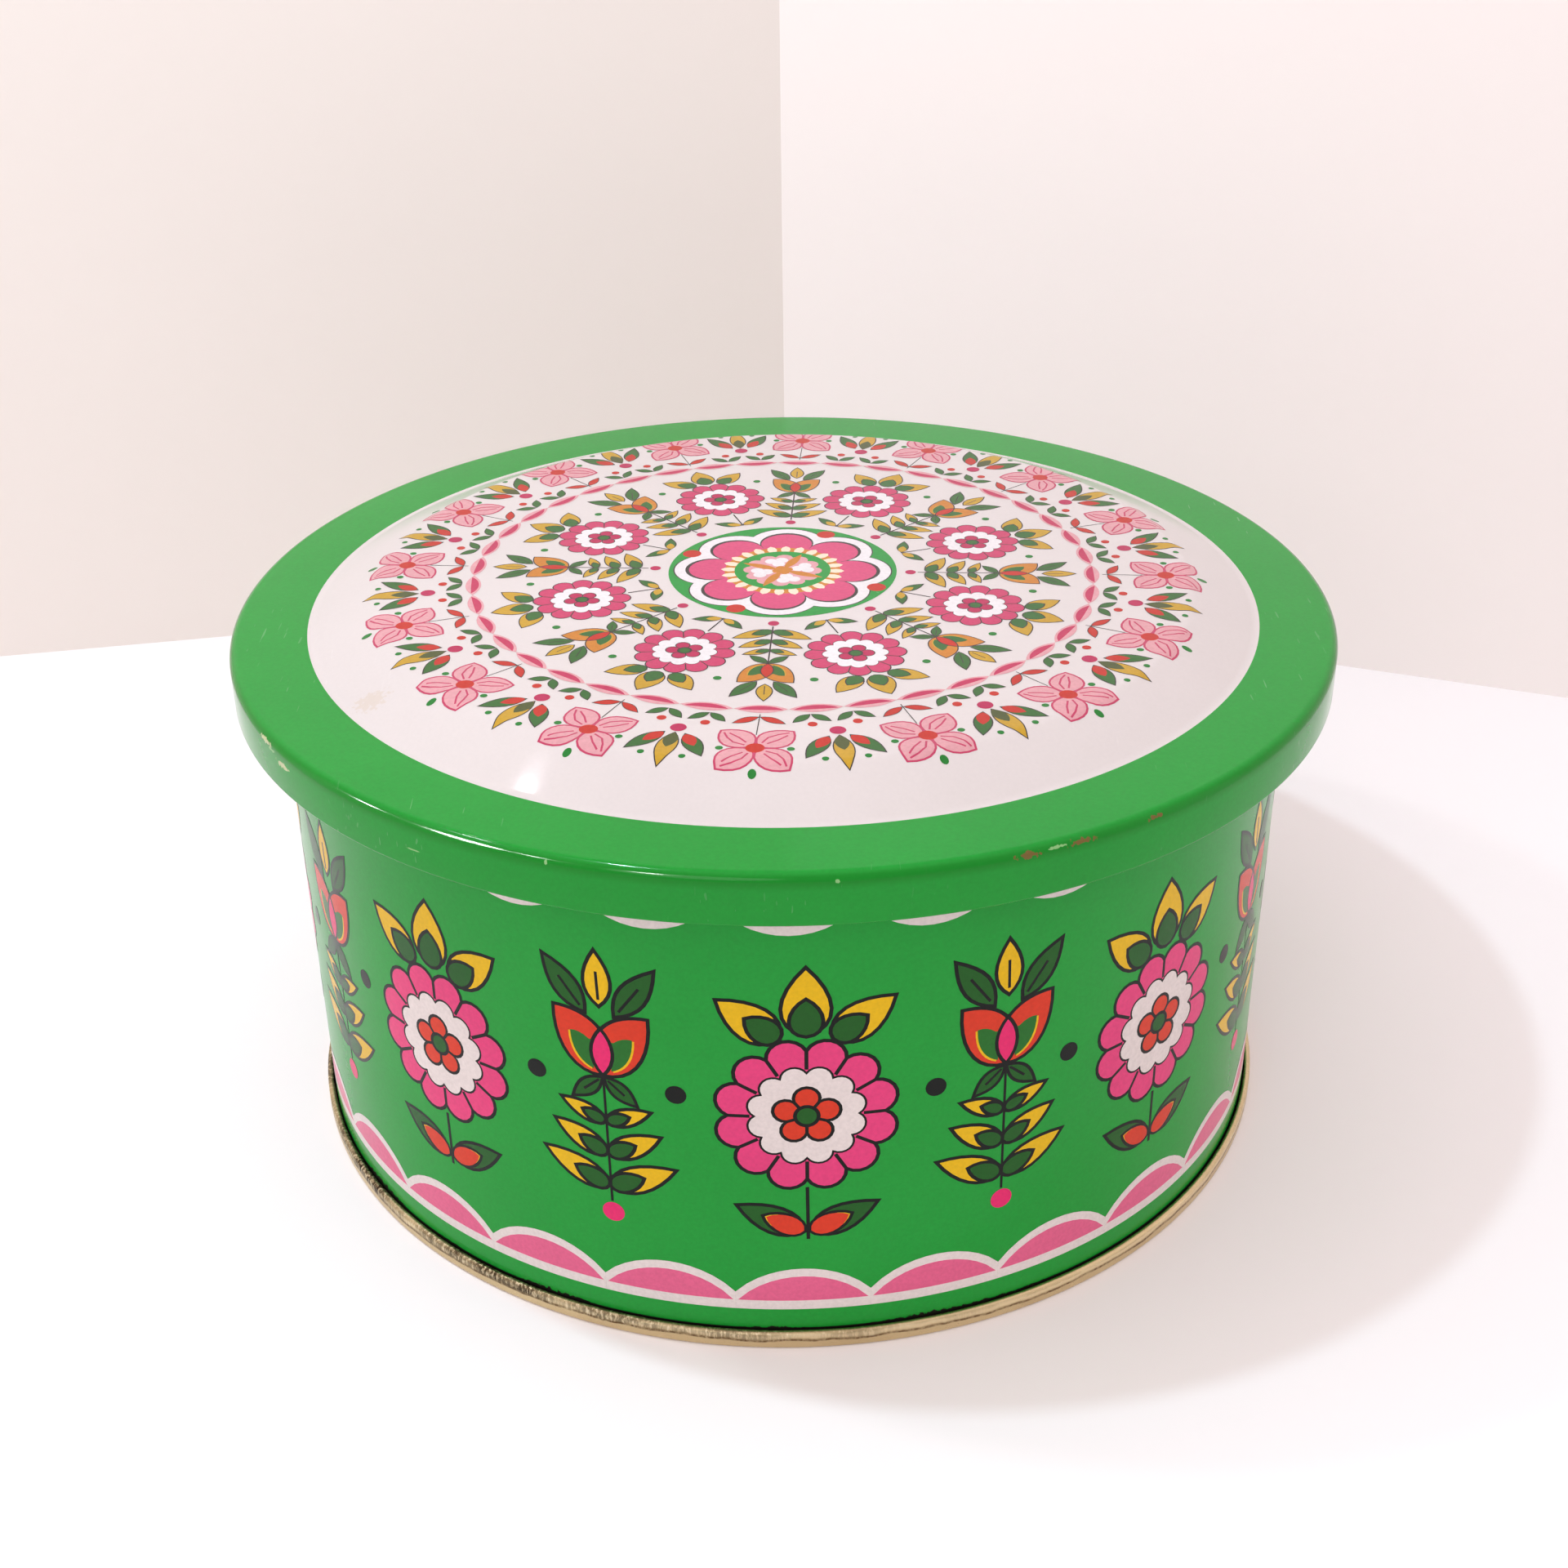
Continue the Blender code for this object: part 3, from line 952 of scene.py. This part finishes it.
def medallion():
    """Eight pink petals in a white rosette on a green disc, round a beaded ring and a small posy."""
    shapes = [("ring_green", disc(0, 0, 19.9, 96))]
    shapes += [("line", rosette(19.15, 6.95, 8, 90, 14)), ("white", rosette(18.9, 6.85, 8, 90, 14))]
    for number in range(8):
        petal = [("line", disc(12.25, 0, 4.8, 28)), ("petal_pink", disc(11.85, 0, 4.55, 28))]
        shapes += placed(petal, turn=45 * number)
    for number in range(4):
        shapes += placed([("red", disc(17.9, 0, 1.65))], turn=67.5 + 90 * number)
    shapes += [("petal_pink", disc(0, 0, 10.6, 48)), ("orange", disc(0, 0, 10.1, 48))]
    for number in range(24):
        shapes += placed([("cream", leaf((8.0, 0), (10.8, 0), 1.75, 0.0, 0.9, 4))], turn=15 * number)
    shapes += [("ring_green", disc(0, 0, 8.4, 48)), ("pale_pink", rosette(6.9, 1.55, 12, 0, 5))]
    for number in range(4):
        clover = [("white", disc(x, y, 1.15, 12)) for x, y in ((4.3, -0.95), (4.3, 0.95), (2.8, 0.0))]
        shapes += placed(clover, turn=17.5 + 90 * number)
        shapes += placed([("orange", leaf((0.8, 0), (7.7, 0), 1.7, 0.3))], turn=67.5 + 90 * number)
    return shapes + [("orange", rosette(1.9, 0.85, 4, 22.5, 6))]


LID_LINE = 0.2
MOTIF_SHARE = 0.585
LID_SWAPS = {"yellow": "mustard", "dark_green": "leaf_green", "mid_green": "leaf_green"}
TULIP_SWAPS = {**LID_SWAPS, "red": "orange", "magenta": "red"}
BLOSSOM_SWAPS = {**LID_SWAPS, "red": "magenta"}


def inner_ring_tile():
    """One tulip and, half a step on, one flower."""
    line = LID_LINE / MOTIF_SHARE
    tulips = in_inks(tulip_stalk(line) + tulip_head(line), TULIP_SWAPS) + [("magenta", disc(0.2, -21.7, 1.6))]
    shapes = placed(tulips, y=35.0, scale=MOTIF_SHARE)
    flowers = placed(in_inks(crown_leaves(line) + blossom(line), BLOSSOM_SWAPS), y=36.0, scale=MOTIF_SHARE)
    foot = two_tone_leaf((0.15, 22.4), (4.6, 24.7), 2.0, LID_LINE, "leaf_green", "mustard")
    foot = both_sides(foot) + [("line", ribbon([(0.0, 22.2), (0.0, 27.9)], 0.26))]
    shapes += placed(foot + flowers, turn=22.5)
    for side in (-1, 1):
        shapes += placed([("dot_green", disc(0, 43.8, 0.7, 12))], turn=10 * side)
    return shapes


def pink_ring_tile():
    """One long lens of the ring, pale with a deep pink inner half."""
    pale = leaf((-4.2, 53.6), (4.2, 53.6), 2.7, 0.3, 0.7)
    left, right = (-3.5, 53.9), (3.5, 53.9)
    deep = bend(left, (-1.9, 52.2), (1.9, 52.2), right) + bend(right, (1.7, 54.0), (-1.7, 54.0), left)
    return [("pale_pink", pale), ("deep_pink", deep)]


def drooping_pair(ink, base, reach, drop, width):
    """Two small leaves that part and droop outwards."""
    tip = (reach, base + drop)
    return both_sides(edged(ink, leaf((0.1, base), tip, width, 0.35), 0.14))


def four_petal_flower():
    """A pale pink flower with veined petals and a red eye."""
    shapes = []
    for number in range(4):
        petal = edged("pale_pink", leaf((0.6, 0), (7.7, 0), 5.4, 0.25, 0.72), 0.34)
        petal = in_inks(petal, {"line": "petal_line"})
        veins = [[(1.8, 0.5), (3.6, 1.15), (5.4, 0.8), (6.9, 0.1)], [(2.2, -0.2), (4.2, -0.45), (6.2, -0.35)]]
        petal += [("petal_line", ribbon(vein, 0.32)) for vein in veins]
        shapes += placed(petal, turn=45 + 90 * number)
    return shapes + [("red", disc(0, 0, 1.46))]


def sprig():
    """Three leaves below a magenta dot."""
    side = two_tone_leaf((1.6, 63.0), (5.95, 69.3), 2.9, 0.2, "leaf_green", "red")
    middle = two_tone_leaf((0.0, 62.9), (0.0, 72.4), 3.1, 0.2, "mustard", "olive", 0.5)
    shapes = both_sides(side) + middle + [("magenta", disc(0, 61.3, 1.27))]
    for turn in (-2.6, 2.6):
        shapes += placed([("dot_green", disc(0, 69.9, 0.55, 12))], turn=turn)
    return shapes


def outer_ring_tile():
    """A red and two green pairs of the vine, a four-petal flower and, half a step on, a sprig."""
    shapes = drooping_pair("red", 56.3, 4.0, 2.1, 1.6)
    green = drooping_pair("leaf_green", 55.6, 2.9, 2.5, 1.6) + [("red", disc(0, 58.9, 0.77, 12))]
    for turn in (-7.9, 7.9):
        shapes += placed(green, turn=turn)
    shapes.append(("line", ribbon([(0.0, 55.4), (0.1, 62.2)], 0.16)))
    shapes += placed(four_petal_flower(), y=66.3)
    shapes += [("dot_green", disc(side * 5.3, 66.4, 0.6, 12)) for side in (-1, 1)]
    shapes.append(("dot_green", disc(0, 72.6, 0.65, 12, 0.9)))
    return shapes + placed(sprig(), turn=-11.25)


# Printing


def make_print_tree(name, wrapped):
    """A flat tile of one ink, wrapped on the wall or laid on the crown, and repeated round the axis."""
    takes = {"Tile": "Geometry", "Radius": "Float", "Height": "Float", "Copies": "Int"}
    takes |= {"Pitch": "Float", "First": "Float", "Ink": "Material"}
    tree, given, result = new_tree(name, "GeometryNodeTree", takes, {"Print": "Geometry"})
    drawn = add(tree, "GeometryNodeInputPosition").outputs[0]
    flat = parted(tree, drawn)
    if wrapped:
        angle = calc(tree, "DIVIDE", flat[0], given["Radius"])
        across = times(tree, calc(tree, "SINE", angle), given["Radius"])
        back = times(tree, calc(tree, "COSINE", angle), given["Radius"])
        up = calc(tree, "ADD", flat[1], given["Height"])
    else:
        across = times(tree, flat[0], -1.0)
        back = flat[1]
        past = calc(tree, "SUBTRACT", length_of(tree, drawn), given["Radius"])
        past = calc(tree, "MAXIMUM", past, 0.0)
        bend = SLOPE_BEND * sin(SLOPE_TILT)
        round_part = calc(tree, "MINIMUM", past, bend)
        left_up = calc(tree, "SUBTRACT", SLOPE_BEND ** 2, times(tree, round_part, round_part))
        drop = calc(tree, "SUBTRACT", SLOPE_BEND, calc(tree, "SQRT", left_up))
        straight = calc(tree, "MAXIMUM", calc(tree, "SUBTRACT", past, bend), 0.0)
        drop = calc(tree, "MULTIPLY_ADD", straight, tan(SLOPE_TILT), drop)
        up = calc(tree, "SUBTRACT", given["Height"], drop)
    place = combined(tree, across, times(tree, back, -1.0), up)
    shape = add(tree, "GeometryNodeSetPosition", {"Geometry": given["Tile"], "Position": place}).outputs[0]
    points = add(tree, "GeometryNodePoints", {"Count": given["Copies"]}).outputs[0]
    number = add(tree, "GeometryNodeInputIndex").outputs[0]
    turn = calc(tree, "MULTIPLY_ADD", number, given["Pitch"], given["First"])
    feeds = {"Points": points, "Instance": shape, "Rotation": combined(tree, z=turn)}
    shape = add(tree, "GeometryNodeInstanceOnPoints", feeds).outputs[0]
    shape = add(tree, "GeometryNodeRealizeInstances", {"Geometry": shape}).outputs[0]
    shape = add(tree, "GeometryNodeSetMaterial", {"Geometry": shape, "Material": given["Ink"]}).outputs[0]
    tree.links.new(shape, result.inputs[0])
    return tree


SLICE = 2.5
DRAWING_STEP = 1e-4
BEND_CUTS = (0.0, 0.4, 0.8, 1.2, 1.54, 2.8)
ARC_STEP = 2.0


def cut_by_ink(shapes, sliced):
    """The shapes, later ones on top, cut into one layer of triangles: for each ink, a flat mesh in metres.

    A tile of the wall is also cut into upright slices, and one of the lid along the bend of the
    crown's edge, so that each can follow its sheet.
    """
    points, faces, edges = [], [], []
    for ink, outline in shapes:
        start = len(points)
        points += [Vector(point) for point in counter_clockwise(outline)]
        faces.append(list(range(start, len(points))))
    if sliced:
        left, right = min(p.x for p in points), max(p.x for p in points)
        low, high = min(p.y for p in points), max(p.y for p in points)
        for number in range(1, int((right - left) / SLICE) + 1):
            x = left + number * SLICE
            edges.append((len(points), len(points) + 1))
            points += [Vector((x, low - 1)), Vector((x, high + 1))]
    elif max(p.length for p in points) * MM > CROWN_RADIUS:
        for past in BEND_CUTS:
            reach = CROWN_RADIUS / MM + past
            for number in range(-8, 9):
                angle = radians(number * ARC_STEP)
                if number < 8:
                    edges.append((len(points), len(points) + 1))
                points.append(Vector((reach * sin(angle), reach * cos(angle))))
    corners, _, triangles, _, _, owners = delaunay_2d_cdt(points, edges, faces, 1, DRAWING_STEP, True)
    layers = {}
    for triangle, owner in zip(triangles, owners):
        if owner:
            layers.setdefault(shapes[max(owner)][0], []).append(triangle)
    meshes = {}
    for ink, cut in layers.items():
        used = sorted({corner for triangle in cut for corner in triangle})
        number = {corner: i for i, corner in enumerate(used)}
        mesh = bpy.data.meshes.new(ink)
        places = [(corners[corner].x * MM, corners[corner].y * MM, 0.0) for corner in used]
        mesh.from_pydata(places, [], [[number[corner] for corner in triangle] for triangle in cut])
        meshes[ink] = mesh
    return meshes


def print_tiles(tree, tiles, inks, sizes, sliced):
    """Every tile of one body: for each ink, one mesh of all that it prints."""
    prints = {}
    for shapes, copies, pitch, first in tiles:
        for ink, flat in cut_by_ink(shapes, sliced).items():
            placing = {"Copies": copies, "Pitch": radians(pitch), "First": radians(first), "Ink": inks[ink]}
            printed = made_by(tree, flat, {**sizes, **placing})
            layer = prints.setdefault(ink, bmesh.new())
            layer.from_mesh(printed)
    meshes = {}
    for ink, layer in prints.items():
        mesh = bpy.data.meshes.new(ink)
        layer.to_mesh(mesh)
        layer.free()
        mesh.materials.append(inks[ink])
        meshes[ink] = mesh
    return meshes


FLOWER_HEIGHT = 45.4
FLOWER_PITCH = 40.8
FLOWER_TURN = 1.7
DOT_REACH = 19.75
DOT_RISE = 3.0
SCALLOPS = 25
LOW_PITCH, LOW_TURN = 14.08, 1.2
TOP_PITCH, TOP_TURN = 13.8, 0.1
SEAM_MARGIN = 1.2
TOP_BORDER_MIRROR = 93.1
LID_TURN = -3.8


def border(pitch, first_turn):
    """Scallops all round, and what is left of one on each side of the side seam: shapes, copies, pitch, first."""
    half = radians(pitch / 2) * WALL_RADIUS / MM
    rows = [(scallop(-half, half, half), SCALLOPS, pitch, first_turn - (SCALLOPS - 1) / 2 * pitch)]
    for side in (-1, 1):
        to_seam = radians(180 - pitch * SCALLOPS / 2 - side * first_turn)
        width = to_seam * WALL_RADIUS / MM - SEAM_MARGIN
        rest = scallop(-half, -half + width, half) if side > 0 else scallop(half - width, half, half)
        rows.append((rest, 1, pitch, first_turn + side * (SCALLOPS + 1) / 2 * pitch))
    return rows


def print_wall(tree):
    """Nine flowers and the eight tulips between them, over and under a scalloped border."""
    line = 0.6
    flower_tile = flower(line) + [("line", disc(side * DOT_REACH, DOT_RISE, 1.67)) for side in (-1, 1)]
    tiles = [
        (placed(flower_tile, y=FLOWER_HEIGHT), 9, FLOWER_PITCH, FLOWER_TURN - 4 * FLOWER_PITCH),
        (placed(tulip(line), y=FLOWER_HEIGHT), 8, FLOWER_PITCH, FLOWER_TURN - 3.5 * FLOWER_PITCH),
    ]
    tiles += border(LOW_PITCH, LOW_TURN)
    for shapes, copies, pitch, first in border(TOP_PITCH, TOP_TURN):
        upside_down = [(ink, [(x, TOP_BORDER_MIRROR - y) for x, y in outline]) for ink, outline in shapes]
        tiles.append((upside_down, copies, pitch, first))
    sizes = {"Radius": WALL_RADIUS + INK_FILM, "Height": 0.0}
    for ink, mesh in print_tiles(tree, tiles, WALL_INKS, sizes, True).items():
        mesh.shade_smooth()
        outwards = [Vector((v.co.x, v.co.y, 0.0)).normalized() for v in mesh.vertices]
        mesh.normals_split_custom_set_from_vertices(outwards)
        piece("wall_print_" + ink, mesh, "tin")


def print_lid(tree):
    """The medallion and the rings round it."""
    tiles = [
        (medallion(), 1, 0.0, LID_TURN),
        (inner_ring_tile(), 8, 45.0, LID_TURN),
        (pink_ring_tile(), 40, 9.0, LID_TURN),
        (outer_ring_tile(), 16, 22.5, LID_TURN),
    ]
    sizes = {"Radius": CROWN_RADIUS, "Height": LID_TOP + INK_FILM}
    for ink, mesh in print_tiles(tree, tiles, LID_INKS, sizes, False).items():
        piece("lid_print_" + ink, mesh, "lid")


WALL_COLOURS = {
    "line": (4, 8, 5),
    "pink": (216, 60, 118),
    "white": (218, 208, 205),
    "red": (205, 53, 27),
    "yellow": (219, 176, 8),
    "dark_green": (22, 86, 22),
    "mid_green": (30, 104, 32),
    "magenta": (218, 36, 104),
    "rose": (216, 94, 134),
}

LID_COLOURS = {
    "line": (58, 52, 50),
    "pink": (188, 58, 98),
    "petal_pink": (200, 72, 114),
    "white": (220, 214, 216),
    "mustard": (186, 146, 42),
    "leaf_green": (50, 98, 42),
    "dot_green": (34, 116, 44),
    "olive": (74, 82, 42),
    "orange": (190, 120, 42),
    "red": (182, 42, 29),
    "ring_green": (32, 140, 56),
    "pale_pink": (208, 150, 156),
    "petal_line": (182, 62, 94),
    "deep_pink": (180, 50, 86),
    "magenta": (172, 36, 80),
    "cream": (228, 210, 186),
}

WALL_INKS = {ink: make_ink("wall_ink_" + ink, srgb(*colour)) for ink, colour in WALL_COLOURS.items()}
LID_INKS = {ink: make_ink("lid_ink_" + ink, srgb(*colour)) for ink, colour in LID_COLOURS.items()}


# Making


def add_side_seam(finish_inside, finish_outside):
    """The folded lap inside the wall at the back, and its unprinted stripe outside."""
    low = PANEL_RECESS + STEP_HEIGHT + GROOVE_DEPTH + SHEET + LAP_MARGIN
    high = WALL_TOP - RIM_CURL
    inner = WALL_RADIUS - SHEET
    lap = (inner + 0.05 * MM, inner - LAP_HEIGHT, LAP_WIDTH / 2, low, high - LAP_MARGIN)
    stripe = (WALL_RADIUS - 0.1 * MM, WALL_RADIUS + 0.04 * MM, 1.1 * MM, SEAM_HEIGHT + 0.2 * MM, high)
    blocks = (("side_seam_lap", lap, finish_inside), ("side_seam_stripe", stripe, finish_outside))
    for name, (near, far, half, bottom, top), material in blocks:
        block = bmesh.new()
        bmesh.ops.create_cube(block, size=1.0)
        for vertex in block.verts:
            radius = (near + far) / 2 + vertex.co.y * (far - near)
            angle = SIDE_SEAM_ANGLE - vertex.co.x * 2 * half / WALL_RADIUS
            height = (bottom + top) / 2 + vertex.co.z * (top - bottom)
            vertex.co = (radius * cos(angle), radius * sin(angle), height)
        bmesh.ops.recalc_face_normals(block, faces=block.faces)
        mesh = bpy.data.meshes.new(name)
        block.to_mesh(mesh)
        block.free()
        mesh.materials.append(material)
        piece(name, mesh, "tin")


place_camera()
light_studio()
build_stage()

bare_tin = make_plate("bare_tinplate", srgb(196, 192, 184), srgb(120, 108, 92), 0.35)[0]
seam_gold = make_seam_gold()
panel_gold = make_plate("panel_gold", srgb(214, 186, 138), srgb(128, 100, 64), 0.4)[0]

turning = make_turning_tree()
lid_mesh = turned_sheet(turning, lid_line(), make_lid_green(), bare_tin, make_crown_white(), SLOPE_FOOT)
lid = piece("lid_sheet", lid_mesh, "lid")
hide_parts("lid")
light_glints(lid)
wall = piece("wall_sheet", turned_sheet(turning, wall_line(), make_wall_green(), bare_tin), "tin")
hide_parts("body_wall")
base = piece("base_sheet", turned_sheet(turning, base_line(), panel_gold, seam_gold), "tin")
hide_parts("base_plate")
add_side_seam(bare_tin, bare_tin)
print_wall(make_print_tree("print_round_the_wall", True))
print_lid(make_print_tree("print_on_the_crown", False))

bpy.context.scene.view_settings.view_transform = "Standard"
